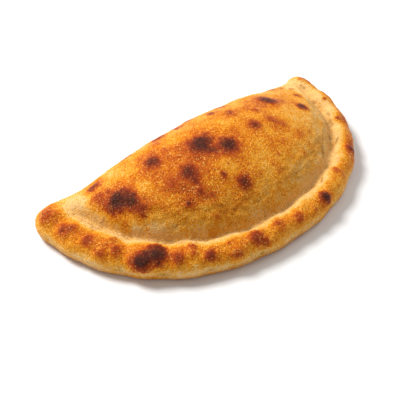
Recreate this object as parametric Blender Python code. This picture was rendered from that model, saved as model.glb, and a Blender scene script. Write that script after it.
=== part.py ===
"""A whole baked calzone: a disc of dough folded in half over its filling and sealed along the
curved side with a rolled rim. It is one closed body that lies on its flat underside.

Metres, +Z up. X runs along the straight fold, from the left tip to the right tip. The rolled rim
faces -Y and the fold faces +Y. The origin is at the middle of the bounding box, on the underside.
"""
import math

import bmesh
import bpy
import numpy as np

NAME = "calzone"

# Ridge line of the rolled rim: a superellipse half round, seen from above, from tip to tip.
RIDGE_LEFT = 0.1145          # from the middle of the fold to the left tip's ridge
RIDGE_RIGHT = 0.1152         # and to the right tip's ridge
RIDGE_DEPTH = 0.1040         # from the tips forward to the foremost point of the ridge
RIDGE_BACK = (0.0470, 0.0480, 0.0487)  # Y that it is measured from: left tip, front, right tip
SQUARENESS_LEFT = 2.03       # superellipse exponents: 2 is a plain ellipse
SQUARENESS_RIGHT = 2.24
RIDGE_SAMPLES = 300

# The roll of dough round that line: half widths and heights at the left tip, front and right tip.
ROLL_HALF_WIDTH = (0.0140, 0.0106, 0.0090)
ROLL_TOP = (0.0190, 0.0180, 0.0170)
ROLL_WIDEST_Z = 0.0080       # height of the widest line, all round the outline
ROLL_CREASE = 0.75           # how far in from the ridge the crease lies, in half widths
KNUCKLES = 13                # soft bulges along the roll
KNUCKLE_RISE = 0.0008

# The filled dome inside the rim.
DOME_TOP = 0.0490
DOME_CENTRE_X = -0.0060
DOME_LEFT = -0.1170          # where the dome runs out at each tip
DOME_RIGHT = 0.1190
DOME_FALL_LEFT = 2.3         # higher is fuller towards that tip
DOME_FALL_RIGHT = 1.9
CREASE_Z = 0.0110
CREASE_SLOPE = 0.6           # how fast the dome's foot dives under the roll
CREST_Y = 0.0130             # the highest line runs here at the middle ...
CREST_BACK_LEFT = 0.0120     # ... and bends back this much towards each tip
CREST_BACK_RIGHT = 0.0100
CREST_LEAST = 0.45           # the crest never lies nearer to the crease than this share
FRONT_SWELL = 1.45           # higher is a rounder front slope

# The folded edge along the back.
FOLD_Y = 0.0560
FOLD_BOW = 0.0023
FOLD_FLARE = 0.0046          # it swings back this much to meet the fat left tip
FLARE_START = -0.0850        # X where that swing starts
FOLD_HALF_LENGTH = 0.1200

# The underside and the mesh.
BASE_INSET = 0.0050          # the flat underside stops this far inside the outline
SOFT_JOIN = 0.0034           # rounding where the roll meets the dome
CENTRE = (-0.0060, 0.0180)   # all rings close in on this point
AROUND = 88                  # segments round the outline
UP = 32                      # rings from the underside to the top
SIDE_RINGS = 3               # rings from the underside to the widest line
ROLL_RINGS = 11              # rings from the widest line over the roll to the crease
OUTLINE_STEPS = 1440         # directions that the outline is worked out in
CORNER_EASE = 14             # steps over which it is eased each way
TIP_EASE = 20                # steps over which the crease is eased where it turns back
EASE_STEP = 0.0005           # length of those steps along X
EASE_REACH = 0.1400          # how far from the middle that table goes
BACK_SHARE = 0.25            # along the fold that ring lies this far in along its ray
BACK_EASE = 0.5              # angle past each tip over which it gets there
CRUST_COLOUR = (0.66, 0.33, 0.10, 1.0)
CRUST_ROUGHNESS = 0.62


def smooth_step(value):
    """Ease from 0 to 1 with level ends."""
    value = np.clip(value, 0.0, 1.0)
    return value * value * (3.0 - 2.0 * value)


def left_front_right(cosine, sizes):
    """Blend three sizes, given for the left tip, the front and the right tip."""
    left, front, right = sizes
    return front + (right - front) * smooth_step(cosine) + (left - front) * smooth_step(-cosine)


def soft_max(a, b):
    """The larger of two heights, with the join between them rounded."""
    share = np.clip(0.5 + 0.5 * (a - b) / SOFT_JOIN, 0.0, 1.0)
    return b + (a - b) * share + SOFT_JOIN * share * (1.0 - share)


def ridge_point(angle):
    """Points of the ridge line; pi is the left tip, 1.5 pi the front and 2 pi the right tip."""
    cosine, sine = np.cos(angle), np.sin(angle)
    to_right = smooth_step(cosine + 0.5)
    power = 2.0 / (SQUARENESS_LEFT + (SQUARENESS_RIGHT - SQUARENESS_LEFT) * to_right)
    length = np.where(cosine < 0.0, RIDGE_LEFT, RIDGE_RIGHT)
    x = length * np.sign(cosine) * np.abs(cosine) ** power
    y = left_front_right(cosine, RIDGE_BACK) - RIDGE_DEPTH * np.abs(sine) ** power
    return np.stack([x, y], axis=-1)


def even_steps(curve, start, end, count):
    """Parameters that split a curve into steps of equal length."""
    fine = np.linspace(start, end, 4001)
    points = curve(fine)
    run = np.concatenate([[0.0], np.cumsum(np.linalg.norm(np.diff(points, axis=0), axis=1))])
    return np.interp(np.linspace(0.0, run[-1], count), run, fine)


def make_roll():
    """The roll as a row of round swellings: centres, half widths and rises above its widest line."""
    angle = even_steps(ridge_point, math.pi, 2.0 * math.pi, RIDGE_SAMPLES)
    cosine = np.cos(angle)
    along = np.linspace(0.0, 1.0, RIDGE_SAMPLES)
    knuckle = np.cos(2.0 * math.pi * (KNUCKLES * along + 0.35 * np.sin(7.0 * along)))
    width = left_front_right(cosine, ROLL_HALF_WIDTH) + 0.5 * KNUCKLE_RISE * knuckle
    rise = left_front_right(cosine, ROLL_TOP) - ROLL_WIDEST_Z + KNUCKLE_RISE * knuckle
    return ridge_point(angle), width, rise


ROLL = make_roll()


def make_crease():
    """The line where the roll meets the dome, from the left tip to the right tip."""
    ridge, width, _ = ROLL
    step = np.gradient(ridge, axis=0)
    inward = np.stack([-step[:, 1], step[:, 0]], axis=-1)
    inward /= np.linalg.norm(inward, axis=1, keepdims=True)
    return ridge + inward * (width * ROLL_CREASE)[:, None]


CREASE = make_crease()


def make_crease_y():
    """The crease's Y along X, eased where the crease turns back at the two tips."""
    left_to_right = CREASE[np.argsort(CREASE[:, 0])]
    x = np.arange(-EASE_REACH, EASE_REACH, EASE_STEP)
    y = np.interp(x, left_to_right[:, 0], left_to_right[:, 1])
    weights = np.hanning(2 * TIP_EASE + 3)[1:-1]
    return x, np.convolve(np.pad(y, TIP_EASE, mode="edge"), weights / weights.sum(), mode="valid")


CREASE_Y = make_crease_y()


def roll_height(x, y):
    """Height of the roll above its widest line."""
    ridge, width, rise = ROLL
    away = (x[..., None] - ridge[:, 0]) ** 2 + (y[..., None] - ridge[:, 1]) ** 2
    return (rise * np.sqrt(np.clip(1.0 - away / width ** 2, 0.0, 1.0))).max(axis=-1)


def fold_edge(x):
    """Y of the folded edge, which bows back a little in the middle and flares at the left."""
    flare = smooth_step((FLARE_START - x) / (FLARE_START + RIDGE_LEFT))
    return FOLD_Y + FOLD_BOW * (1.0 - (x / FOLD_HALF_LENGTH) ** 2) + FOLD_FLARE * flare


def dome_height(x, y):
    """Height of the filled dome above the roll's widest line."""
    crease = np.interp(x, *CREASE_Y)
    edge = fold_edge(x)
    left = np.clip((DOME_CENTRE_X - x) / (DOME_CENTRE_X - DOME_LEFT), 0.0, 1.0)
    right = np.clip((x - DOME_CENTRE_X) / (DOME_RIGHT - DOME_CENTRE_X), 0.0, 1.0)
    fullness = (1.0 - left ** DOME_FALL_LEFT) * (1.0 - right ** DOME_FALL_RIGHT)
    crest = (DOME_TOP - CREASE_Z) * fullness
    crest_y = CREST_Y + CREST_BACK_LEFT * left ** 2 + CREST_BACK_RIGHT * right ** 2
    crest_y = np.maximum(crest_y, crease + CREST_LEAST * (edge - crease))
    climb = np.clip((y - crease) / (crest_y - crease), 0.0, 1.0)
    slope = (1.0 - (1.0 - climb) ** 2) ** (1.0 / FRONT_SWELL)
    foot = CREASE_Z - ROLL_WIDEST_Z
    front = foot + crest * slope + np.minimum(y - crease, 0.0) * CREASE_SLOPE
    back = np.clip((y - crest_y) / (edge - crest_y), 0.0, 1.0)
    behind = (foot + crest) * np.sqrt(1.0 - back ** 2)
    return np.where(y < crest_y, front, behind)


def sharp_reach(direction):
    """Distance from the centre to the outline: as far as the roll or the folded edge goes."""
    ridge, width, _ = ROLL
    heading = np.stack([np.cos(direction), np.sin(direction)], axis=-1)
    offset = ridge - np.array(CENTRE)
    along = heading @ offset.T
    spare = along ** 2 - (offset ** 2).sum(axis=1) + width ** 2
    to_roll = np.where(spare > 0.0, along + np.sqrt(np.maximum(spare, 0.0)), 0.0).max(axis=1)
    backward = np.maximum(heading[:, 1], 1e-6)
    to_fold = (FOLD_Y - CENTRE[1]) / backward
    for _ in range(6):
        x = np.clip(CENTRE[0] + to_fold * heading[:, 0], -FOLD_HALF_LENGTH, FOLD_HALF_LENGTH)
        to_fold = (fold_edge(x) - CENTRE[1]) / backward
    end = np.where(heading[:, 0] < 0.0, -RIDGE_LEFT - CENTRE[0], RIDGE_RIGHT - CENTRE[0])
    sideways = np.where(np.abs(heading[:, 0]) < 1e-6, 1e-6, heading[:, 0])
    to_end = np.maximum(end / sideways, 0.0)
    return np.maximum(to_roll, np.where(heading[:, 1] > 0.0, np.minimum(to_fold, to_end), 0.0))


def make_reach():
    """The outline's distance from the centre all round, with the corners of the tips eased."""
    direction = np.linspace(-math.pi, math.pi, OUTLINE_STEPS, endpoint=False)
    distance = sharp_reach(direction)
    padded = np.concatenate([distance[-CORNER_EASE:], distance, distance[:CORNER_EASE]])
    weights = np.hanning(2 * CORNER_EASE + 3)[1:-1]
    return direction, np.convolve(padded, weights / weights.sum(), mode="valid")


REACH = make_reach()


def reach(direction):
    """Distance from the centre to the eased outline."""
    return np.interp(direction, *REACH, period=2.0 * math.pi)


def outline_point(direction):
    """Points of the outline, seen from above, in the given directions from the centre."""
    heading = np.stack([np.cos(direction), np.sin(direction)], axis=-1)
    return np.array(CENTRE) + reach(direction)[:, None] * heading


def crease_share(direction):
    """How far in the crease lies on the way from the outline to the centre."""
    offset = CREASE - np.array(CENTRE)
    bearing = np.unwrap(np.arctan2(offset[:, 1], offset[:, 0]))
    bearing += 2.0 * math.pi * (bearing[0] < 0.0)
    share = 1.0 - np.linalg.norm(offset, axis=1) / reach(bearing)
    again = bearing[0] + 2.0 * math.pi
    stops = np.concatenate([bearing, [bearing[-1] + BACK_EASE, again - BACK_EASE, again]])
    shares = np.concatenate([share, [BACK_SHARE, BACK_SHARE, share[0]]])
    turned = direction % (2.0 * math.pi)
    return np.interp(np.where(turned < bearing[0], turned + 2.0 * math.pi, turned), stops, shares)


def outline_ring():
    """Evenly spaced outline points, the inward direction and how far in the crease lies."""
    direction = even_steps(outline_point, -math.pi, math.pi, AROUND + 1)[:-1]
    points = outline_point(direction)
    step = np.roll(points, -1, axis=0) - np.roll(points, 1, axis=0)
    inward = np.stack([-step[:, 1], step[:, 0]], axis=-1)
    inward /= np.linalg.norm(inward, axis=1, keepdims=True)
    return points, inward, crease_share(direction)[:, None]


def ring_positions(ring, points, inward, crease):
    """Where the vertices of one ring go, counted from the underside to the top."""
    if ring <= 1 + SIDE_RINGS:
        turn = 0.5 * math.pi * max(ring - 1, 0) / SIDE_RINGS
        plan = points + inward * BASE_INSET * (1.0 - math.sin(turn))
        height = np.full(AROUND, ROLL_WIDEST_Z * (1.0 - math.cos(turn)))
    else:
        over_roll = (ring - 1 - SIDE_RINGS) / ROLL_RINGS
        over_dome = (over_roll - 1.0) * ROLL_RINGS / (UP - 1 - SIDE_RINGS - ROLL_RINGS)
        rolled = crease * 0.5 * (1.0 - math.cos(math.pi * min(over_roll, 1.0)))
        share = rolled + (1.0 - crease) * max(over_dome, 0.0)
        plan = points + (np.array(CENTRE) - points) * share
        x, y = plan[:, 0], plan[:, 1]
        height = ROLL_WIDEST_Z + soft_max(roll_height(x, y), dome_height(x, y))
    return np.column_stack([plan, height])


def shape_body(mesh):
    """Turn a ball into the calzone: its rings become the underside, the roll and the dome."""
    body = bmesh.new()
    bmesh.ops.create_uvsphere(body, u_segments=AROUND, v_segments=UP, radius=1.0)
    points, inward, crease = outline_ring()
    rings = [ring_positions(ring, points, inward, crease) for ring in range(UP + 1)]
    for vertex in body.verts:
        x, y, z = vertex.co
        ring = round((0.5 + math.asin(max(-1.0, min(1.0, z))) / math.pi) * UP)
        if ring in (0, UP):
            height = 0.0 if ring == 0 else rings[UP][0][2]
            vertex.co = (CENTRE[0], CENTRE[1], height)
        else:
            segment = round(math.atan2(y, x) / (2.0 * math.pi) * AROUND) % AROUND
            vertex.co = rings[ring][segment]
    body.to_mesh(mesh)
    body.free()


def centre_on_base(mesh):
    """Move the mesh so that the origin is at the middle of its box, on the underside."""
    points = np.array([vertex.co[:] for vertex in mesh.vertices])
    low, high = points.min(axis=0), points.max(axis=0)
    shift = np.array([0.5 * (low[0] + high[0]), 0.5 * (low[1] + high[1]), low[2]])
    for vertex, point in zip(mesh.vertices, points - shift):
        vertex.co = point


def crust_material():
    """Baked dough: golden brown and rather matt."""
    material = bpy.data.materials.new("baked_crust")
    material.use_nodes = True
    shader = material.node_tree.nodes["Principled BSDF"]
    shader.inputs["Base Color"].default_value = CRUST_COLOUR
    shader.inputs["Roughness"].default_value = CRUST_ROUGHNESS
    shader.inputs["Metallic"].default_value = 0.0
    return material


def main():
    for thing in list(bpy.data.objects):
        bpy.data.objects.remove(thing, do_unlink=True)
    collection = bpy.data.collections.new(NAME)
    bpy.context.scene.collection.children.link(collection)
    mesh = bpy.data.meshes.new(NAME)
    shape_body(mesh)
    centre_on_base(mesh)
    mesh.materials.append(crust_material())
    mesh.shade_smooth()
    collection.objects.link(bpy.data.objects.new(NAME, mesh))


main()
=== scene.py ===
"""The look of the whole baked calzone: crust relief, browning, blisters and the studio round it.

Metres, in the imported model's frame: X along the straight fold, the rolled rim towards -Y, the
fold towards +Y, the underside at z = 0. The fine crust mesh repeats the solid's own shape
functions, then adds lumps, wrinkles, pits, blisters and grain to it.
"""
import math
import random

import bmesh
import bpy
import numpy as np
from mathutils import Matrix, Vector, noise


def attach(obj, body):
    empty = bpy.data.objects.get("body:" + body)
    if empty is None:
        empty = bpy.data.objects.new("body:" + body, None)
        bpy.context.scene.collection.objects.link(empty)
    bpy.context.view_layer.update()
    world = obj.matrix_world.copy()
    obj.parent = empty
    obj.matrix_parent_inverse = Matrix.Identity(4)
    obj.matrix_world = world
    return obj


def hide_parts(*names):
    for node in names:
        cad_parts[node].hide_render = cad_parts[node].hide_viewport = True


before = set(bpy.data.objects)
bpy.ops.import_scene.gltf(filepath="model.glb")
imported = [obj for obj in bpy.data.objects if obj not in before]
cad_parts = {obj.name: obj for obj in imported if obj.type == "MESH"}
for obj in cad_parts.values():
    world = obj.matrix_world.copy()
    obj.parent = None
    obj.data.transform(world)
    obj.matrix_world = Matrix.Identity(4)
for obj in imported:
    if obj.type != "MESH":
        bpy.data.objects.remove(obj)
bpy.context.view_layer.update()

MM = 0.001
NODE = "calzone"

# ---------------------------------------------------------------- the solid's own sizes
# The ridge runs along the middle of the rolled rim. Where a size has three values, they are for
# the left tip, the front and the right tip.
RIDGE_LEFT = 0.1145          # from the middle to the left tip
RIDGE_RIGHT = 0.1152
RIDGE_DEPTH = 0.1040         # from the tips forward to the front
RIDGE_BACK = (0.0470, 0.0480, 0.0487)  # Y that the depth is measured from
SQUARENESS_LEFT = 2.03       # 2 is a plain ellipse
SQUARENESS_RIGHT = 2.24
RIDGE_SAMPLES = 300
ROLL_HALF_WIDTH = (0.0140, 0.0106, 0.0090)
ROLL_TOP = (0.0190, 0.0180, 0.0170)
ROLL_WIDEST_Z = 0.0080       # height of the outline, where the roll is widest
ROLL_CREASE = 0.75           # how far in from the ridge the crease lies, in half widths
KNUCKLES = 13                # swellings along the roll
KNUCKLE_DRIFT = 0.35         # how unevenly they are spaced
KNUCKLE_DRIFT_RATE = 7.0
KNUCKLE_RISE = 0.0008
KNUCKLE_WIDENING = 0.5       # share of the rise that the roll grows wider by
DOME_TOP = 0.0490
DOME_CENTRE_X = -0.0060
DOME_LEFT = -0.1170          # where the crest has fallen to nothing
DOME_RIGHT = 0.1190
DOME_FALL_LEFT = 2.3         # higher is fuller towards that tip
DOME_FALL_RIGHT = 1.9
CREASE_Z = 0.0110
CREASE_SLOPE = 0.6           # slope that carries the dome on down under the roll
CREST_Y = 0.0130
CREST_BACK_LEFT = 0.0120     # how far the crest moves back at each end
CREST_BACK_RIGHT = 0.0100
CREST_LEAST = 0.45           # the crest's least share of the way from the crease to the fold
FRONT_SWELL = 1.45           # higher is a rounder front slope
FOLD_Y = 0.0560
FOLD_BOW = 0.0023
FOLD_FLARE = 0.0046
FLARE_START = -0.0850
FOLD_HALF_LENGTH = 0.1200
BASE_INSET = 0.0050          # how far the underside's edge lies inside the outline
SOFT_JOIN = 0.0034           # rounding where the roll meets the dome
CENTRE = np.array([-0.0060, 0.0180])
OUTLINE_STEPS = 1440
OUTLINE_ROUNDS = 6           # rounds of closing in on the bowed fold
CORNER_EASE = 14             # outline steps on each side that ease a corner of the tips
TIP_EASE = 20                # table steps on each side that ease the crease at the tips
EASE_STEP = 0.0005           # step of the crease's table along X
EASE_REACH = 0.1400          # half length of that table
BACK_SHARE = 0.25            # where a crease would lie behind the fold, as a share of the way in
BACK_EASE = 0.5              # angle from the crease's ends to there
TINY = 1e-6                  # keeps a divisor away from nothing
TINY_RING = 1e-9             # the same, at the middle of the sheet

# ---------------------------------------------------------------- the fine mesh
CELLS = 276                  # grid cells along each side of the top sheet
ROLL_CELLS = 0.28            # share of the rings that lie on the roll
SIDE_RINGS = 12              # rings from the widest line down to the underside
CURVE_SAMPLES = 4001         # points that measure a curve's length
TURN_SAMPLES = 2401          # points of the table that spreads the cells along the outline


def smooth_step(value):
    """Ease from 0 to 1 with level ends."""
    value = np.clip(value, 0.0, 1.0)
    return value * value * (3.0 - 2.0 * value)


def left_front_right(cosine, sizes):
    """Blend three sizes, given for the left tip, the front and the right tip."""
    left, front, right = sizes
    return front + (right - front) * smooth_step(cosine) + (left - front) * smooth_step(-cosine)


def soft_max(a, b, join):
    """The larger of two heights, with the join between them rounded."""
    share = np.clip(0.5 + 0.5 * (a - b) / join, 0.0, 1.0)
    return b + (a - b) * share + join * share * (1.0 - share)


def ridge_point(angle):
    """Points of the rim's ridge; pi is the left tip, 1.5 pi the front and 2 pi the right tip."""
    cosine, sine = np.cos(angle), np.sin(angle)
    to_right = smooth_step(cosine + 0.5)
    power = 2.0 / (SQUARENESS_LEFT + (SQUARENESS_RIGHT - SQUARENESS_LEFT) * to_right)
    length = np.where(cosine < 0.0, RIDGE_LEFT, RIDGE_RIGHT)
    x = length * np.sign(cosine) * np.abs(cosine) ** power
    y = left_front_right(cosine, RIDGE_BACK) - RIDGE_DEPTH * np.abs(sine) ** power
    return np.stack([x, y], axis=-1)


def even_steps(curve, start, end, count):
    """Parameters that split a curve into steps of equal length."""
    fine = np.linspace(start, end, CURVE_SAMPLES)
    points = curve(fine)
    run = np.concatenate([[0.0], np.cumsum(np.linalg.norm(np.diff(points, axis=0), axis=1))])
    return np.interp(np.linspace(0.0, run[-1], count), run, fine)


def make_roll():
    """The roll as a row of round swellings: centres, half widths and rises."""
    angle = even_steps(ridge_point, math.pi, 2.0 * math.pi, RIDGE_SAMPLES)
    cosine = np.cos(angle)
    along = np.linspace(0.0, 1.0, RIDGE_SAMPLES)
    turns = KNUCKLES * along + KNUCKLE_DRIFT * np.sin(KNUCKLE_DRIFT_RATE * along)
    knuckle = np.cos(2.0 * math.pi * turns)
    widening = KNUCKLE_WIDENING * KNUCKLE_RISE * knuckle
    width = left_front_right(cosine, ROLL_HALF_WIDTH) + widening
    rise = left_front_right(cosine, ROLL_TOP) - ROLL_WIDEST_Z + KNUCKLE_RISE * knuckle
    return ridge_point(angle), width, rise


ROLL = make_roll()


def make_crease():
    """The line where the roll meets the dome, from the left tip to the right tip."""
    ridge, width, _ = ROLL
    step = np.gradient(ridge, axis=0)
    inward = np.stack([-step[:, 1], step[:, 0]], axis=-1)
    inward /= np.linalg.norm(inward, axis=1, keepdims=True)
    return ridge + inward * (width * ROLL_CREASE)[:, None]


CREASE = make_crease()


def make_crease_y():
    """The crease's Y along X, eased where the crease turns back at the two tips."""
    left_to_right = CREASE[np.argsort(CREASE[:, 0])]
    x = np.arange(-EASE_REACH, EASE_REACH, EASE_STEP)
    y = np.interp(x, left_to_right[:, 0], left_to_right[:, 1])
    weights = np.hanning(2 * TIP_EASE + 3)[1:-1]
    return x, np.convolve(np.pad(y, TIP_EASE, mode="edge"), weights / weights.sum(), mode="valid")


CREASE_Y = make_crease_y()


def in_chunks(work, x, y, size=20000):
    """Run a function of many points piece by piece, to keep its tables small."""
    flat_x, flat_y = x.ravel(), y.ravel()
    parts = [work(flat_x[i:i + size], flat_y[i:i + size]) for i in range(0, flat_x.size, size)]
    return np.concatenate(parts).reshape(x.shape)


def roll_height(x, y):
    """Height of the roll above its widest line."""
    ridge, width, rise = ROLL

    def highest(px, py):
        away = (px[:, None] - ridge[:, 0]) ** 2 + (py[:, None] - ridge[:, 1]) ** 2
        return (rise * np.sqrt(np.clip(1.0 - away / width ** 2, 0.0, 1.0))).max(axis=1)

    return in_chunks(highest, x, y)


def crease_distance(x, y):
    """Distance to the crease line, seen from above."""
    def nearest(px, py):
        away = (px[:, None] - CREASE[:, 0]) ** 2 + (py[:, None] - CREASE[:, 1]) ** 2
        return np.sqrt(away.min(axis=1))

    return in_chunks(nearest, x, y)


def fold_edge(x):
    """Y of the folded edge, which bows back a little in the middle and flares at the left."""
    flare = smooth_step((FLARE_START - x) / (FLARE_START + RIDGE_LEFT))
    return FOLD_Y + FOLD_BOW * (1.0 - (x / FOLD_HALF_LENGTH) ** 2) + FOLD_FLARE * flare


def dome_height(x, y):
    """Height of the filled dome above the roll's widest line."""
    crease = np.interp(x, *CREASE_Y)
    edge = fold_edge(x)
    left = np.clip((DOME_CENTRE_X - x) / (DOME_CENTRE_X - DOME_LEFT), 0.0, 1.0)
    right = np.clip((x - DOME_CENTRE_X) / (DOME_RIGHT - DOME_CENTRE_X), 0.0, 1.0)
    fullness = (1.0 - left ** DOME_FALL_LEFT) * (1.0 - right ** DOME_FALL_RIGHT)
    crest = (DOME_TOP - CREASE_Z) * fullness
    crest_y = CREST_Y + CREST_BACK_LEFT * left ** 2 + CREST_BACK_RIGHT * right ** 2
    crest_y = np.maximum(crest_y, crease + CREST_LEAST * (edge - crease))
    climb = np.clip((y - crease) / (crest_y - crease), 0.0, 1.0)
    slope = (1.0 - (1.0 - climb) ** 2) ** (1.0 / FRONT_SWELL)
    foot = CREASE_Z - ROLL_WIDEST_Z
    front = foot + crest * slope + np.minimum(y - crease, 0.0) * CREASE_SLOPE
    back = np.clip((y - crest_y) / (edge - crest_y), 0.0, 1.0)
    behind = (foot + crest) * np.sqrt(1.0 - back ** 2)
    return np.where(y < crest_y, front, behind)


def top_height(x, y):
    """Height of the smooth top, before any relief."""
    return ROLL_WIDEST_Z + soft_max(roll_height(x, y), dome_height(x, y), SOFT_JOIN)


def sharp_reach(direction):
    """Distance from the centre to the outline: as far as the roll or the folded edge goes."""
    ridge, width, _ = ROLL
    heading = np.stack([np.cos(direction), np.sin(direction)], axis=-1)
    offset = ridge - CENTRE
    along = heading @ offset.T
    spare = along ** 2 - (offset ** 2).sum(axis=1) + width ** 2
    to_roll = np.where(spare > 0.0, along + np.sqrt(np.maximum(spare, 0.0)), 0.0).max(axis=1)
    backward = np.maximum(heading[:, 1], TINY)
    to_fold = (FOLD_Y - CENTRE[1]) / backward
    for _ in range(OUTLINE_ROUNDS):
        x = np.clip(CENTRE[0] + to_fold * heading[:, 0], -FOLD_HALF_LENGTH, FOLD_HALF_LENGTH)
        to_fold = (fold_edge(x) - CENTRE[1]) / backward
    end = np.where(heading[:, 0] < 0.0, -RIDGE_LEFT - CENTRE[0], RIDGE_RIGHT - CENTRE[0])
    sideways = np.where(np.abs(heading[:, 0]) < TINY, TINY, heading[:, 0])
    to_end = np.maximum(end / sideways, 0.0)
    return np.maximum(to_roll, np.where(heading[:, 1] > 0.0, np.minimum(to_fold, to_end), 0.0))


def make_reach():
    """The outline's distance from the centre all round, with the corners of the tips eased."""
    direction = np.linspace(-math.pi, math.pi, OUTLINE_STEPS, endpoint=False)
    distance = sharp_reach(direction)
    padded = np.concatenate([distance[-CORNER_EASE:], distance, distance[:CORNER_EASE]])
    weights = np.hanning(2 * CORNER_EASE + 3)[1:-1]
    return direction, np.convolve(padded, weights / weights.sum(), mode="valid")


REACH = make_reach()


def reach(direction):
    """Distance from the centre to the eased outline."""
    return np.interp(direction, *REACH, period=2.0 * math.pi)


def outline_point(direction):
    """Points of the outline, seen from above, in the given directions from the centre."""
    heading = np.stack([np.cos(direction), np.sin(direction)], axis=-1)
    return CENTRE + reach(direction)[:, None] * heading


def crease_share(direction):
    """How far in the crease lies on the way from the outline to the centre."""
    offset = CREASE - CENTRE
    bearing = np.unwrap(np.arctan2(offset[:, 1], offset[:, 0]))
    bearing += 2.0 * math.pi * (bearing[0] < 0.0)
    share = 1.0 - np.linalg.norm(offset, axis=1) / reach(bearing)
    again = bearing[0] + 2.0 * math.pi
    stops = np.concatenate([bearing, [bearing[-1] + BACK_EASE, again - BACK_EASE, again]])
    shares = np.concatenate([share, [BACK_SHARE, BACK_SHARE, share[0]]])
    turned = direction % (2.0 * math.pi)
    return np.interp(np.where(turned < bearing[0], turned + 2.0 * math.pi, turned), stops, shares)


def top_positions(across, along):
    """Lay the square sheet over the top: its outer cells become the outline."""
    ring = np.maximum(np.abs(across), np.abs(along))
    safe = np.where(ring < TINY_RING, 1.0, ring)
    on_side = np.abs(across) >= np.abs(along)
    eighth = 0.25 * math.pi
    angle = np.where(on_side, eighth * along / safe * np.sign(across) + math.pi * (across < 0.0),
                     0.5 * math.pi - eighth * across / safe * np.sign(along)
                     + math.pi * (along < 0.0))
    table = even_steps(outline_point, -math.pi, math.pi, TURN_SAMPLES)
    turn = (angle % (2.0 * math.pi)) / (2.0 * math.pi)
    direction = np.interp(turn, np.linspace(0.0, 1.0, TURN_SAMPLES), table)
    outline = outline_point(direction)
    crease = crease_share(direction)
    over_roll = np.clip((1.0 - ring) / ROLL_CELLS, 0.0, 1.0)
    over_dome = np.clip((1.0 - ROLL_CELLS - ring) / (1.0 - ROLL_CELLS), 0.0, 1.0)
    share = crease * 0.5 * (1.0 - np.cos(math.pi * over_roll)) + (1.0 - crease) * over_dome
    plan = outline + (CENTRE - outline) * share[:, None]
    return np.column_stack([plan, top_height(plan[:, 0], plan[:, 1])])


def build_smooth_crust():
    """The smooth closed crust as a bmesh, centred like the solid."""
    body = bmesh.new()
    bmesh.ops.create_grid(body, x_segments=CELLS, y_segments=CELLS, size=1.0)
    flat = np.array([vertex.co[:] for vertex in body.verts])
    for vertex, place in zip(body.verts, top_positions(flat[:, 0], flat[:, 1])):
        vertex.co = place
    rim = [edge for edge in body.edges if edge.is_boundary]
    for vertex in {vertex for edge in rim for vertex in edge.verts}:
        vertex.co.z = ROLL_WIDEST_Z
    inward = {}
    for edge in rim:
        face = edge.link_faces[0].calc_center_median()
        for vertex in edge.verts:
            run = edge.other_vert(vertex).co - vertex.co
            side = Vector((-run.y, run.x, 0.0))
            side *= 1.0 if side.dot(face - vertex.co) > 0.0 else -1.0
            inward[vertex.index] = inward.get(vertex.index, Vector()) + side.normalized()
    start = {vertex.index: vertex.co.copy() for edge in rim for vertex in edge.verts}
    keys = {vertex: vertex.index for edge in rim for vertex in edge.verts}
    for ring in range(1, SIDE_RINGS + 1):
        turn = 0.5 * math.pi * ring / SIDE_RINGS
        grown = bmesh.ops.extrude_edge_only(body, edges=rim)["geom"]
        new_rim = [item for item in grown if isinstance(item, bmesh.types.BMEdge)
                   and item.is_boundary]
        new_keys = {}
        for vertex in (item for item in grown if isinstance(item, bmesh.types.BMVert)):
            above = next(edge.other_vert(vertex) for edge in vertex.link_edges
                         if edge.other_vert(vertex) in keys)
            key = keys[above]
            new_keys[vertex] = key
            plan = start[key] + inward[key].normalized() * BASE_INSET * (1.0 - math.cos(turn))
            vertex.co = (plan.x, plan.y, ROLL_WIDEST_Z * (1.0 - math.sin(turn)))
        rim, keys = new_rim, new_keys
    bmesh.ops.contextual_create(body, geom=rim)
    bmesh.ops.recalc_face_normals(body, faces=body.faces)
    return body


def mesh_arrays(mesh):
    """Vertex positions and normals of a mesh as arrays."""
    count = len(mesh.vertices)
    places, normals = np.empty(3 * count), np.empty(3 * count)
    mesh.vertices.foreach_get("co", places)
    mesh.vertex_normals.foreach_get("vector", normals)
    return places.reshape(-1, 3), normals.reshape(-1, 3)


# ---------------------------------------------------------------- noise
# Each layer: size of the swells, seed, octaves, and how strong each octave is next to the last.
BROAD_LUMPS = (0.036, 1, 1, 0.5)
SMALL_LUMPS = (0.016, 2, 1, 0.5)
KNEADING = (0.0085, 3, 2, 0.5)
WOBBLE = (0.0055, 4, 2, 0.5)
PATCHES = (0.020, 5, 3, 0.6)
GRAIN = (0.0021, 6, 2, 0.6)
FINE_GRAIN = (0.0011, 7, 1, 0.5)
PINCHES = (0.006, 8, 2, 0.5)
FOLDS = (0.011, 9, 2, 0.5)
SEED_STEP = np.array([17.3, -9.1, 5.7])
OCTAVE_SCALE = 2.1           # how much finer each octave is than the last


def noise_field(places, size, seed, octaves, roughness):
    """Smooth noise from about -1 to 1 at each place, with swells of the given size."""
    scaled = places / size + SEED_STEP * seed
    total, strength, scale, sum_strength = np.zeros(len(places)), 1.0, 1.0, 0.0
    for _ in range(octaves):
        total += strength * np.array([noise.noise(Vector(p)) for p in scaled * scale])
        sum_strength += strength
        strength *= roughness
        scale *= OCTAVE_SCALE
    return total / sum_strength


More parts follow.
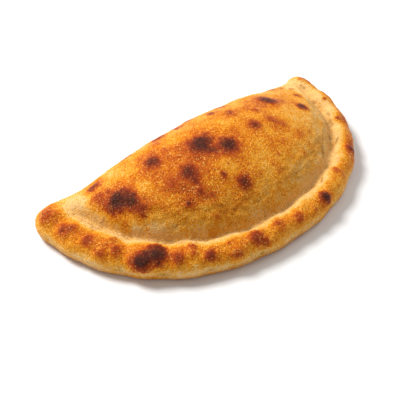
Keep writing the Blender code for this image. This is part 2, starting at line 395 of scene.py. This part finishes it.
# ---------------------------------------------------------------- marks of the oven
# Burnt blisters: x, y, radius in millimetres, and darkness.
DOME_BURNS = (
    (-83, 21, 9, 1.00), (-77, 12, 7.5, 0.92), (-88, 33, 7.5, 0.50), (-75, 3, 5, 0.56),
    (-75, 21, 6, 0.44), (-82, 46, 5.5, 0.60), (-49, 24, 7.5, 0.84), (-34, 38, 4, 0.35),
    (-15, 14, 9.5, 0.95), (-23, 13, 7.0, 0.66), (-16, 6, 5, 0.62), (-2, 1, 9.0, 0.96),
    (-11, 2, 4, 0.42), (-38, 0.5, 8.5, 0.84), (-51, 1, 5, 0.48), (23, 27, 5.5, 0.55),
    (28, 7, 5.5, 0.76), (41, 20, 4, 0.52), (60, 31, 7.5, 0.84), (63, 26, 6.5, 0.72),
    (43, 7, 5, 0.48), (48, 1, 4.5, 0.44), (82, 14, 5, 0.90), (95, 31, 4.5, 0.50),
    (87, 50, 4.5, 0.45), (-10, -24, 6.0, 0.80), (-19, -14, 3.2, 0.66), (-39, -14, 4, 0.56),
    (-34, -19, 2.5, 0.50), (-38, -8, 2.5, 0.42), (-50, -14, 2.4, 0.84), (-12, -10, 1.0, 0.4),
    (1, -16, 1.0, 0.4), (26, -19, 1.0, 0.4), (18, -23, 3, 0.25), (18, -29, 3, 0.25),
    (47, -24, 2, 0.2), (55, -10, 3, 0.22), (38, -11, 3, 0.2), (29, -9, 3, 0.2),
    (4, -24, 3, 0.22), (-86, 7, 3, 0.3), (-45, -33, 3, 0.25), (-39, -29, 2, 0.3),
)
RIM_BURNS = (
    (-119, 50, 7, 0.48), (-118, 33, 5.5, 0.62), (-113, 29, 4, 0.48), (-111, 14, 5.5, 0.62),
    (-111, 1, 4, 0.48), (-103, -4, 5, 0.48), (-99, 3, 3, 0.40), (-96, -21, 7.5, 1.00),
    (-86, -24, 7.5, 1.00), (-81, -25, 5, 0.50), (-76, -35, 5, 0.62), (-64, -34, 3, 0.42),
    (-67, -39, 3, 0.45), (-58, -46, 5, 0.72), (-43, -55, 5, 0.48), (-44, -47, 1.4, 0.4),
    (-26, -54, 6.5, 0.68), (-22, -60, 3.5, 0.38), (-7, -55, 4.5, 0.44), (9, -58, 5, 0.50),
    (23, -60, 4, 0.30), (36, -56, 5.5, 0.98), (62, -42, 4, 0.48), (88, -31, 4.5, 0.86),
    (105, -3, 3, 0.52), (114, 20, 1.6, 0.6), (118, 49, 4, 0.42),
)
# Broad changes in browning, with painted shade and a painted highlight among them: x, y, radius in
# millimetres, and how much browner (or paler) it is.
# Painted shade sits low on the front of the dome, as at (-30, -38) and (24, -42); the painted
# highlight is at (-66, 14).
TONES_AND_PAINTED_LIGHT = (
    (-99, 43, 9, -0.30), (-66, 14, 6, -0.42), (-80, -6, 10, -0.22), (-58, -19, 10, 0.14),
    (38, -32, 8, -0.08), (24, -42, 8, 0.16), (-12, -11, 9, -0.24), (-30, 18, 14, 0.10),
    (-96, 26, 7, -0.28), (18, -14, 20, -0.14), (4, -24, 12, -0.12), (62, 34, 18, 0.16),
    (85, 30, 14, 0.14), (-30, -38, 12, 0.16), (-52, 8, 18, 0.06), (88, 52, 10, 0.12),
)
# Slits and pits in the crease: x, y, heading in degrees, half length, half width and depth in mm.
SLITS = (
    (-102, 31, -75, 3.0, 0.7, 0.9), (-88, -2, -50, 3.0, 0.8, 1.2), (-77, -13, -30, 3.0, 0.9, 1.3),
    (-70, -20, -35, 5.0, 1.0, 1.7), (-66, -26, -30, 3.0, 0.9, 1.4), (-60, -32, -30, 3.0, 0.9, 1.3),
    (47, -42, 45, 4.0, 0.8, 1.3), (68, -24, 50, 6.0, 1.0, 1.5), (87, -12, 80, 2.5, 0.9, 1.3),
    (87, -19, 20, 3.0, 0.8, 1.1), (99, -1, 70, 3.0, 0.9, 1.3), (104, 6, 75, 2.5, 0.9, 1.3),
    (113, 42, 90, 3.0, 0.9, 1.1), (107, 25, 80, 2.5, 0.8, 1.1),
)
# Flecks scattered over the top: the ranges in millimetres of x, y and radius, and of darkness.
FLECKS = ((-105, 105), (-55, 55), (1.0, 2.4), (0.1, 0.3))
BACK_FLECKS = ((-105, 105), (36, 52), (3.0, 6.0), (0.45, 0.8))
FLECK_COUNT = 130
FLECK_SEED = 11
BACK_FLECK_EVERY = 12
# How a mark fades out: the distance where it has gone and the width of the fade, in its radii.
CORE_FADE = (1.55, 1.45)
HALO_FADE = (2.7, 2.4)
BLISTER_FADE = (1.6, 1.5)
TONE_FADE = (1.6, 1.5)
MARK_WOBBLE = 0.45           # how uneven the edge of a mark is
TONE_WOBBLE = 0.3
HALO_STRENGTH = 0.9
FULL_BLISTER = 6.0           # radius in millimetres from which a blister stands at its full height


def fade_in(value, start, width):
    """Ease from 0 at the start to 1 a width further."""
    return smooth_step((value - start) / width)


def fade_out(value, end, width):
    """Ease from 1 down to 0 at the end, over the given width."""
    return smooth_step((end - value) / width)


def either(a, b):
    """Join two shares, so that each covers part of what the other leaves."""
    return 1.0 - (1.0 - a) * (1.0 - b)


def random_marks():
    """Small light marks scattered over the top, and some larger ones behind the crest."""
    draw = random.Random(FLECK_SEED)
    marks = []
    for index in range(FLECK_COUNT):
        ranges = BACK_FLECKS if index % BACK_FLECK_EVERY == 0 else FLECKS
        marks.append([draw.uniform(low, high) for low, high in ranges])
    return marks


def mark_masks(crust, marks):
    """How strongly each place is burnt, how far it is inside a halo and how it is raised."""
    count = len(crust.places)
    keep, clear, raised = np.ones(count), np.ones(count), np.zeros(count)
    for x, y, radius, darkness in marks:
        spot = np.array([[x * MM, y * MM]])
        z = top_height(spot[:, 0] + crust.shift[0], spot[:, 1] + crust.shift[1])[0]
        middle = np.array([x * MM, y * MM, z])
        away = np.linalg.norm(crust.places - middle, axis=1) / (radius * MM)
        away = away * (1.0 + MARK_WOBBLE * crust.wobble)
        strength = math.sqrt(darkness)
        keep *= 1.0 - darkness * fade_out(away, *CORE_FADE)
        clear *= 1.0 - HALO_STRENGTH * strength * fade_out(away, *HALO_FADE)
        rise = strength * min(radius, FULL_BLISTER) / FULL_BLISTER
        raised = np.maximum(raised, rise * fade_out(away, *BLISTER_FADE))
    return 1.0 - keep, 1.0 - clear, raised


def tone_and_painted_light(places, wobble):
    """How much browner or paler each place is than the crust round it; some tones are painted shade
    and one is a painted highlight.
    """
    change = np.zeros(len(places))
    for x, y, radius, amount in TONES_AND_PAINTED_LIGHT:
        away = np.hypot(places[:, 0] - x * MM, places[:, 1] - y * MM) / (radius * MM)
        change += amount * fade_out(away * (1.0 + TONE_WOBBLE * wobble), *TONE_FADE)
    return change


def slit_depth(places):
    """Depth of the slits in the crease at each place."""
    depth = np.zeros(len(places))
    for x, y, heading, half_length, half_width, deep in SLITS:
        turn = math.radians(heading)
        dx, dy = places[:, 0] - x * MM, places[:, 1] - y * MM
        along = (dx * math.cos(turn) + dy * math.sin(turn)) / (half_length * MM)
        across = (dy * math.cos(turn) - dx * math.sin(turn)) / (half_width * MM)
        depth = np.maximum(depth, deep * MM * np.exp(-along ** 4 - across ** 2))
    return depth


# ---------------------------------------------------------------- relief
ROLL_FADE = 0.003            # height difference over which the dome turns into the roll
ROLL_FULL = 0.010            # height above the outline that counts as the roll's top
FLANK = 0.75                 # share of the roll's height below which its flank begins
FLANK_BURN_LOSS = 0.50       # burns of the rim are weaker down its flank
FLANK_HALO_LOSS = 0.70
FLECK_BURN = 0.8
FLECK_HALO = 0.7
UNDERSIDE_FADE = 0.004       # the relief fades out below this height
TOPSIDE = (-0.35, 0.5)       # the z of a normal where the topside starts, and the width of the change
CREASE_WIDTH = 0.0030
CREASE_END = (0.044, 0.022)  # the wrinkles of the crease end towards the fold
FOOT_MIDDLE = 0.009          # the foot of the dome is this far from the crease
FOOT_WIDTH = 0.007
FOOT_END_Y = 0.02
FOLD_SPREAD = 0.085          # metres of noise for a radian round the dome
FOLD_STRETCH = 3.2           # and for a metre away from the crease
# Heights of the relief in metres, and how much of it the roll and the burnt spots change.
BROAD_LUMP_HEIGHT = 0.0011
SMALL_LUMP_HEIGHT = 0.0006
LUMP_LOSS_ON_ROLL = 0.55     # share of the lumps that is missing on the roll
KNEAD_HEIGHT = 0.00030
KNEAD_ROLL_HEIGHT = 0.00060  # added to it on the roll
DOME_BLISTER_HEIGHT = 0.0008
RIM_BLISTER_HEIGHT = 0.0027
FLECK_HEIGHT = 0.0002
GRAIN_HEIGHT = 0.00022
BURNT_GRAIN_HEIGHT = 0.00010  # added to it on the burnt spots
FINE_GRAIN_HEIGHT = 0.00010
CREASE_DEPTH = 0.0008
PINCH_DEPTH = 0.0009         # how much deeper or shallower the pinches make the crease
FOOT_FOLD_HEIGHT = 0.0015


class Crust:
    """What the relief and the browning need to know of each vertex of the smooth crust."""

    def __init__(self, mesh, shift):
        self.mesh, self.shift = mesh, shift
        self.places, self.normals = mesh_arrays(mesh)
        plan_x, plan_y = self.places[:, 0] + shift[0], self.places[:, 1] + shift[1]
        roll = roll_height(plan_x, plan_y)
        self.crease_away = crease_distance(plan_x, plan_y)
        self.on_roll = smooth_step((roll - dome_height(plan_x, plan_y)) / ROLL_FADE + 0.5)
        self.roll_share = np.clip(roll / ROLL_FULL, 0.0, 1.0)
        self.wobble = noise_field(self.places, *WOBBLE)
        self.in_crease = (np.exp(-(self.crease_away / CREASE_WIDTH) ** 2)
                          * fade_out(plan_y, *CREASE_END))
        self.slits = slit_depth(self.places)
        near_foot = np.exp(-((self.crease_away - FOOT_MIDDLE) / FOOT_WIDTH) ** 2)
        self.foot = (1.0 - self.on_roll) * near_foot * (plan_y < FOOT_END_Y)
        bearing = np.arctan2(plan_y - CENTRE[1], plan_x - CENTRE[0])
        self.folds = noise_field(np.column_stack([
            bearing * FOLD_SPREAD, self.crease_away * FOLD_STRETCH, np.zeros(len(bearing))]), *FOLDS)


def burn_masks(crust):
    """Share of burning and of halo at each vertex, and the height of its blister."""
    burnt, halo, raised = mark_masks(crust, DOME_BURNS)
    rim_burnt, rim_halo, rim_raised = mark_masks(crust, RIM_BURNS)
    flank = crust.on_roll * smooth_step(1.0 - crust.roll_share / FLANK)
    burnt = either(burnt, rim_burnt * (1.0 - FLANK_BURN_LOSS * flank))
    halo = either(halo, rim_halo * (1.0 - FLANK_HALO_LOSS * flank))
    flecks, fleck_halo, fleck_raised = mark_masks(crust, random_marks())
    blister = (DOME_BLISTER_HEIGHT * raised + RIM_BLISTER_HEIGHT * rim_raised
               + FLECK_HEIGHT * fleck_raised)
    return either(burnt, FLECK_BURN * flecks), either(halo, FLECK_HALO * fleck_halo), blister


def raise_relief(crust, burnt, blister):
    """Move each vertex out along its normal by the relief; returns the new places."""
    places, on_roll = crust.places, crust.on_roll
    lump = (noise_field(places, *BROAD_LUMPS) * BROAD_LUMP_HEIGHT
            + noise_field(places, *SMALL_LUMPS) * SMALL_LUMP_HEIGHT)
    knead = noise_field(places, *KNEADING) * (KNEAD_HEIGHT + KNEAD_ROLL_HEIGHT * on_roll)
    relief = lump * (1.0 - LUMP_LOSS_ON_ROLL * on_roll) + knead + blister
    relief += (noise_field(places, *GRAIN) * (GRAIN_HEIGHT + BURNT_GRAIN_HEIGHT * burnt)
               + noise_field(places, *FINE_GRAIN) * FINE_GRAIN_HEIGHT)
    relief -= crust.in_crease * (CREASE_DEPTH + PINCH_DEPTH * noise_field(places, *PINCHES))
    relief += crust.foot * crust.folds * FOOT_FOLD_HEIGHT
    relief -= crust.slits
    up = smooth_step(places[:, 2] / UNDERSIDE_FADE)
    places = places + crust.normals * (relief * up)[:, None]
    places[:, 2] = np.maximum(places[:, 2], 0.0)
    crust.mesh.vertices.foreach_set("co", places.ravel())
    return places


# ---------------------------------------------------------------- browning, painted shade and sheen
# Shares of browning, from 0 for pale dough to 1 for dark brown.
DOME_TOAST = 0.25
HIGH_TOAST = 0.22
RIGHT_LOSS = 0.24
BEHIND_PAINTED_SHEEN = 0.20           # painted sheen: paler on the back of the dome, next to the fold
ROLL_TOAST = 0.30
ROLL_TOP_TOAST = 0.06
ROLL_INNER_LOSS = 0.48
ROLL_FLANK_LOSS = 0.22
ROLL_OUTER_TOAST = 0.32
PATCH_TOAST = 0.34
WOBBLE_TOAST = 0.12
HALO_TOAST = 0.38
CREASE_LOSS = 0.22           # the crease itself stays pale
# Where they apply: the start and the width of the change, in metres or in shares of the roll.
HIGH = (0.012, 0.026)
RIGHT = (0.005, 0.10)
SHEEN_BEHIND = (0.020, 0.030)
ROLL_TOP_SHARE = (0.45, 0.5)
ROLL_OUTER = (0.007, 0.006)
ROLL_RIGHT = (0.055, 0.045)
ROLL_INNER_WIDTH = 0.013     # the roll's inner side ends this far from the crease
ROLL_FLANK_SHARE = 0.5
PALE_CREASE_WIDTH = 0.006
# Painted shade, in one dark olive colour: in the slits, along the crease and at the foot of the dome.
FULL_SLIT_SHADE_DEPTH = 0.0015            # depth of slit whose painted shade is full
CREASE_SHADE = 0.4
FOOT_SHADE = 0.40            # shade at the foot of the dome, deeper in its folds
FOOT_FOLD_SHADE = 0.50


def browning(crust, places, halo):
    """Share of browning at each vertex, apart from the burnt spots, with a painted sheen on the back
    of the dome and the painted shade and highlight among the tones.
    """
    high = fade_in(places[:, 2], *HIGH)
    # The last term here is a painted sheen, paler high on the back of the dome.
    dome = (DOME_TOAST + HIGH_TOAST * high - RIGHT_LOSS * fade_in(places[:, 0], *RIGHT)
            - BEHIND_PAINTED_SHEEN * fade_in(places[:, 1], *SHEEN_BEHIND) * high)
    roll = (ROLL_TOAST + ROLL_TOP_TOAST * fade_in(crust.roll_share, *ROLL_TOP_SHARE)
            - ROLL_INNER_LOSS * smooth_step(1.0 - crust.crease_away / ROLL_INNER_WIDTH)
            - ROLL_FLANK_LOSS * smooth_step(1.0 - crust.roll_share / ROLL_FLANK_SHARE))
    outer = fade_in(crust.crease_away, *ROLL_OUTER)
    roll = roll + ROLL_OUTER_TOAST * outer * fade_in(places[:, 0], *ROLL_RIGHT)
    toast = dome * (1.0 - crust.on_roll) + roll * crust.on_roll
    patch = noise_field(crust.places, *PATCHES)
    # The tones hold painted shade low on the front of the dome and a painted highlight.
    toast = (toast + PATCH_TOAST * patch + WOBBLE_TOAST * crust.wobble + HALO_TOAST * halo
             + tone_and_painted_light(places, crust.wobble))
    pale = np.exp(-(crust.crease_away / PALE_CREASE_WIDTH) ** 2)
    return toast - CREASE_LOSS * pale * (1.0 - halo)


def store_mask(mesh, name, values):
    """Keep one number from 0 to 1 a vertex for the material."""
    mask = mesh.attributes.new(name, "FLOAT", "POINT")
    mask.data.foreach_set("value", np.clip(values, 0.0, 1.0).astype(np.float32))


def dress_crust(mesh, shift):
    """Add the relief to the smooth crust and store the masks that its material reads."""
    crust = Crust(mesh, shift)
    burnt, halo, blister = burn_masks(crust)
    places = raise_relief(crust, burnt, blister)
    shade = crust.foot * (FOOT_SHADE - FOOT_FOLD_SHADE * crust.folds) * (1.0 - halo)
    store_mask(mesh, "toast", browning(crust, places, halo))
    store_mask(mesh, "burnt", burnt)
    # Painted shade in the slits, along the crease and at the foot of the dome.
    store_mask(mesh, "recess_shade", crust.slits / FULL_SLIT_SHADE_DEPTH + CREASE_SHADE * crust.in_crease + shade)
    store_mask(mesh, "under", 1.0 - fade_in(crust.normals[:, 2], *TOPSIDE))


# ---------------------------------------------------------------- material
BLACK, WHITE = (0, 0, 0, 1), (1, 1, 1, 1)
# Noise in the material: size in metres, detail and roughness.
SPECK = (0.0016, 3.0, 0.65)
DUST = (0.0007, 2.0, 0.6)
CLOUD = (0.007, 4.0, 0.65)
GRAIN_CELL = 0.0010
# How far each noise swings the browning, the burning and the round grains' edges.
SPECK_TONE, DUST_TONE, CLOUD_TONE = 0.85, 1.15, 0.60
SPECK_CHAR, CLOUD_CHAR = 0.55, 0.25
SPECK_GRAIN = 0.8
# Colours as a screen shows them, 0 to 255, along the browning and along the burning.
DOUGH_COLOURS = (
    (0.00, (242, 196, 128)), (0.20, (238, 170, 58)), (0.42, (230, 144, 12)),
    (0.64, (208, 106, 4)), (0.86, (176, 74, 4)), (1.00, (146, 54, 4)),
)
BURN_COLOURS = (
    (0.20, (196, 90, 8)), (0.45, (172, 68, 8)), (0.65, (136, 48, 10)),
    (0.84, (98, 34, 16)), (1.00, (60, 25, 18)),
)
# The first colour and the first share below are painted shade in the slits, the crease and the dome's
# foot.
RECESS_SHADE_COLOUR = (150, 102, 24)
UNDER_COLOUR = (176, 98, 34)
DARK_GRAIN_COLOUR = (130, 50, 4)
# The next colour is for pale specks, partly flour and partly painted glints.
FLOUR_AND_GLINT_COLOUR = (255, 196, 96)
RECESS_SHADE_SHARE = 0.55
UNDER_SHARE = 0.35
DARK_GRAIN_SHARE = 0.55
FLOUR_AND_GLINT_SHARE = 0.80
BURNT_GRAIN_LOSS = 0.74      # the pale specks, flour and painted glints, fade on the burnt spots
# Black-and-white ramps: what is burnt, what is inside a grain, and which grains are pale specks
# (flour and painted glints) or dark.
BURNT_RAMP = ((0.10, BLACK), (0.45, WHITE))
ROUND_RAMP = ((0.30, WHITE), (0.62, BLACK))
FLOUR_AND_GLINT_RAMP = ((0.62, BLACK), (0.86, WHITE))
DARK_RAMP = ((0.12, WHITE), (0.34, BLACK))
ROUGHNESS = 0.34
DUST_ROUGHNESS = 0.30
SPECULAR = 0.12
BUMP_HEIGHT = 0.0008
DUST_BUMP = 0.5
GRAIN_BUMP = 0.5


def colour(red, green, blue):
    """An opaque colour from the 0 to 255 values that a screen shows."""
    def linear(value):
        share = value / 255.0
        return share / 12.92 if share <= 0.04045 else ((share + 0.055) / 1.055) ** 2.4

    return (linear(red), linear(green), linear(blue), 1.0)


def colour_stops(stops):
    """The stops of a colour ramp, from screen colours."""
    return [(place, colour(*shade)) for place, shade in stops]


class Nodes:
    """Short calls for building one material's node tree."""

    def __init__(self, name):
        self.material = bpy.data.materials.new(name)
        self.material.use_nodes = True
        self.tree = self.material.node_tree
        self.shader = self.tree.nodes["Principled BSDF"]

    def link(self, output, target):
        """Join an output to an input."""
        self.tree.links.new(output, target)

    def mask(self, name):
        """A number that the mesh keeps for each vertex."""
        node = self.tree.nodes.new("ShaderNodeAttribute")
        node.attribute_name = name
        return node.outputs["Fac"]

    def coordinates(self):
        """Places in the object's own metres, from one node that all the noises share."""
        node = self.tree.nodes.get("coordinates")
        if node is None:
            node = self.tree.nodes.new("ShaderNodeTexCoord")
            node.name = "coordinates"
        return node.outputs["Object"]

    def noise(self, size, detail, roughness):
        """Cloudy noise from 0 to 1."""
        node = self.tree.nodes.new("ShaderNodeTexNoise")
        node.inputs["Scale"].default_value = 1.0 / size
        node.inputs["Detail"].default_value = detail
        node.inputs["Roughness"].default_value = roughness
        self.link(self.coordinates(), node.inputs["Vector"])
        return node.outputs["Fac"]

    def grains(self, size):
        """Cells like grains: the distance from each cell's middle, and its own colour."""
        node = self.tree.nodes.new("ShaderNodeTexVoronoi")
        node.inputs["Scale"].default_value = 1.0 / size
        self.link(self.coordinates(), node.inputs["Vector"])
        return node.outputs["Distance"], node.outputs["Color"]

    def math(self, operation, a, b, clamp=False):
        """One step of arithmetic on two values, each a number or an output."""
        node = self.tree.nodes.new("ShaderNodeMath")
        node.operation = operation
        node.use_clamp = clamp
        for socket, value in zip(node.inputs, (a, b)):
            if isinstance(value, (int, float)):
                socket.default_value = value
            else:
                self.link(value, socket)
        return node.outputs["Value"]

    def times(self, a, b):
        """The product of two values."""
        return self.math("MULTIPLY", a, b)

    def add_swing(self, value, noise_value, size, clamp=False):
        """A value that a noise moves up and down by half the size."""
        swing = self.times(self.math("SUBTRACT", noise_value, 0.5), size)
        return self.math("ADD", value, swing, clamp=clamp)

    def ramp(self, factor, stops):
        """A colour ramp with the given places and colours."""
        node = self.tree.nodes.new("ShaderNodeValToRGB")
        elements = node.color_ramp.elements
        while len(elements) < len(stops):
            elements.new(0.5)
        for element, (place, shade) in zip(elements, stops):
            element.position = place
            element.color = shade
        self.link(factor, node.inputs["Fac"])
        return node.outputs["Color"]

    def mix(self, factor, a, b):
        """Colour a, with b laid over it by the factor."""
        node = self.tree.nodes.new("ShaderNodeMix")
        node.data_type = "RGBA"
        self.link(factor, node.inputs["Factor"])
        for name, value in (("A", a), ("B", b)):
            socket = next(s for s in node.inputs if s.name == name and s.type == "RGBA")
            if isinstance(value, tuple):
                socket.default_value = value
            else:
                self.link(value, socket)
        return next(s for s in node.outputs if s.type == "RGBA")


def baked_colour(nodes, speck, dust, cloud):
    """Dough from pale to brown, with the burnt spots, the painted shade of the pits, the crease and
    the dome's foot, and the underside laid over it.
    """
    tone = nodes.add_swing(nodes.mask("toast"), speck, SPECK_TONE)
    tone = nodes.add_swing(tone, dust, DUST_TONE)
    tone = nodes.add_swing(tone, cloud, CLOUD_TONE, clamp=True)
    dough = nodes.ramp(tone, colour_stops(DOUGH_COLOURS))
    char = nodes.add_swing(nodes.mask("burnt"), speck, SPECK_CHAR)
    char = nodes.add_swing(char, cloud, CLOUD_CHAR, clamp=True)
    burn = nodes.ramp(char, colour_stops(BURN_COLOURS))
    base = nodes.mix(nodes.ramp(char, BURNT_RAMP), dough, burn)
    # Painted shade in the slits, the crease and the dome's foot.
    base = nodes.mix(nodes.times(nodes.mask("recess_shade"), RECESS_SHADE_SHARE), base, colour(*RECESS_SHADE_COLOUR))
    return nodes.mix(nodes.times(nodes.mask("under"), UNDER_SHARE), base, colour(*UNDER_COLOUR))


def add_grains(nodes, base, speck, grains, grain_pick):
    """Lay the dark grains, and the pale specks of flour and painted glints, over a colour."""
    inside = nodes.ramp(nodes.add_swing(grains, speck, SPECK_GRAIN), ROUND_RAMP)
    dark = nodes.times(inside, nodes.ramp(grain_pick, DARK_RAMP))
    base = nodes.mix(nodes.times(dark, DARK_GRAIN_SHARE), base, colour(*DARK_GRAIN_COLOUR))
    # Pale specks: partly flour, partly painted glints.
    flour_and_glint = nodes.times(inside, nodes.ramp(grain_pick, FLOUR_AND_GLINT_RAMP))
    lost = nodes.times(nodes.mask("burnt"), BURNT_GRAIN_LOSS)
    share = nodes.times(flour_and_glint, nodes.math("SUBTRACT", FLOUR_AND_GLINT_SHARE, lost))
    return nodes.mix(share, base, colour(*FLOUR_AND_GLINT_COLOUR))


def add_bump(nodes, speck, dust, grains):
    """Fine unevenness of the surface."""
    bump = nodes.tree.nodes.new("ShaderNodeBump")
    bump.inputs["Strength"].default_value = 1.0
    bump.inputs["Distance"].default_value = BUMP_HEIGHT
    raised = nodes.math("ADD", speck, nodes.times(dust, DUST_BUMP))
    height = nodes.math("SUBTRACT", raised, nodes.times(grains, GRAIN_BUMP))
    nodes.link(height, bump.inputs["Height"])
    nodes.link(bump.outputs["Normal"], nodes.shader.inputs["Normal"])


def crust_material():
    """Baked dough: pale in the creases, golden to brown on top, near black on the blisters."""
    nodes = Nodes("baked_crust")
    speck = nodes.noise(*SPECK)
    dust = nodes.noise(*DUST)
    cloud = nodes.noise(*CLOUD)
    grains, grain_pick = nodes.grains(GRAIN_CELL)
    base = baked_colour(nodes, speck, dust, cloud)
    base = add_grains(nodes, base, speck, grains, grain_pick)
    nodes.link(base, nodes.shader.inputs["Base Color"])
    rough = nodes.math("ADD", ROUGHNESS, nodes.times(dust, DUST_ROUGHNESS))
    nodes.link(rough, nodes.shader.inputs["Roughness"])
    nodes.shader.inputs["Specular IOR Level"].default_value = SPECULAR
    add_bump(nodes, speck, dust, grains)
    return nodes.material


def add_object(name, data):
    """A new object in the scene."""
    thing = bpy.data.objects.new(name, data)
    bpy.context.scene.collection.objects.link(thing)
    return thing


def make_crust():
    """The one visible piece, which stands for the solid."""
    mesh = bpy.data.meshes.new("calzone_crust")
    body = build_smooth_crust()
    places = np.array([vertex.co[:] for vertex in body.verts])
    low, high = places.min(axis=0), places.max(axis=0)
    shift = Vector((0.5 * (low[0] + high[0]), 0.5 * (low[1] + high[1]), 0.0))
    bmesh.ops.translate(body, verts=body.verts, vec=-shift)
    body.to_mesh(mesh)
    body.free()
    mesh.update()
    dress_crust(mesh, shift)
    mesh.shade_smooth()
    mesh.materials.append(crust_material())
    crust = add_object("calzone_crust", mesh)
    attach(crust, "root")
    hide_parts(NODE)


# ---------------------------------------------------------------- studio
FLOOR_HALF_SIZE = 3.0
FLOOR_COLOUR = (0.86, 0.86, 0.855, 1.0)
FLOOR_ROUGHNESS = 0.7
ROOM_COLOUR = (1.0, 0.995, 0.985, 1.0)
ROOM_STRENGTH = 0.42
# Lamps: name, place and power. Both are discs of the same width and point at the same place.
LAMPS = (("key", (-0.30, 0.80, 1.05), 22.0), ("fill", (1.0, -0.1, 0.6), 3.0))
LAMP_WIDTH = 0.6
LAMP_TARGET = (0.0, 0.0, 0.02)
CAMERA_PLACE = (-0.3321, -0.3559, 0.4600)
CAMERA_TARGET = (-0.0232, 0.0057, 0.0060)
LENS_MM = 85.0
SENSOR_MM = 36.0


def make_floor():
    """A plain pale floor, level with the underside."""
    mesh = bpy.data.meshes.new("floor")
    sheet = bmesh.new()
    bmesh.ops.create_grid(sheet, x_segments=1, y_segments=1, size=FLOOR_HALF_SIZE)
    sheet.to_mesh(mesh)
    sheet.free()
    nodes = Nodes("pale_floor")
    nodes.shader.inputs["Base Color"].default_value = FLOOR_COLOUR
    nodes.shader.inputs["Roughness"].default_value = FLOOR_ROUGHNESS
    mesh.materials.append(nodes.material)
    floor = add_object("floor", mesh)


def look_at(thing, place, target):
    """Put a light or camera at a place and point its -Z at the target."""
    thing.location = place
    thing.rotation_euler = (Vector(target) - Vector(place)).to_track_quat("-Z", "Y").to_euler()


def make_studio():
    """A strong soft lamp behind the fold, a weak one on the right, and an even pale room."""
    world = bpy.data.worlds.new("studio")
    world.use_nodes = True
    background = world.node_tree.nodes["Background"]
    background.inputs["Color"].default_value = ROOM_COLOUR
    background.inputs["Strength"].default_value = ROOM_STRENGTH
    bpy.context.scene.world = world
    bpy.context.scene.view_settings.view_transform = "Standard"
    for name, place, power in LAMPS:
        light = bpy.data.lights.new(name, "AREA")
        light.shape = "DISK"
        light.size = LAMP_WIDTH
        light.energy = power
        look_at(add_object(name, light), place, LAMP_TARGET)


def make_camera():
    """The camera looks down about 44 degrees, from in front and to the left of the rim."""
    lens = bpy.data.cameras.new("camera")
    lens.lens = LENS_MM
    lens.sensor_width = SENSOR_MM
    camera = add_object("camera", lens)
    look_at(camera, CAMERA_PLACE, CAMERA_TARGET)
    bpy.context.scene.camera = camera


make_crust()
make_floor()
make_studio()
make_camera()
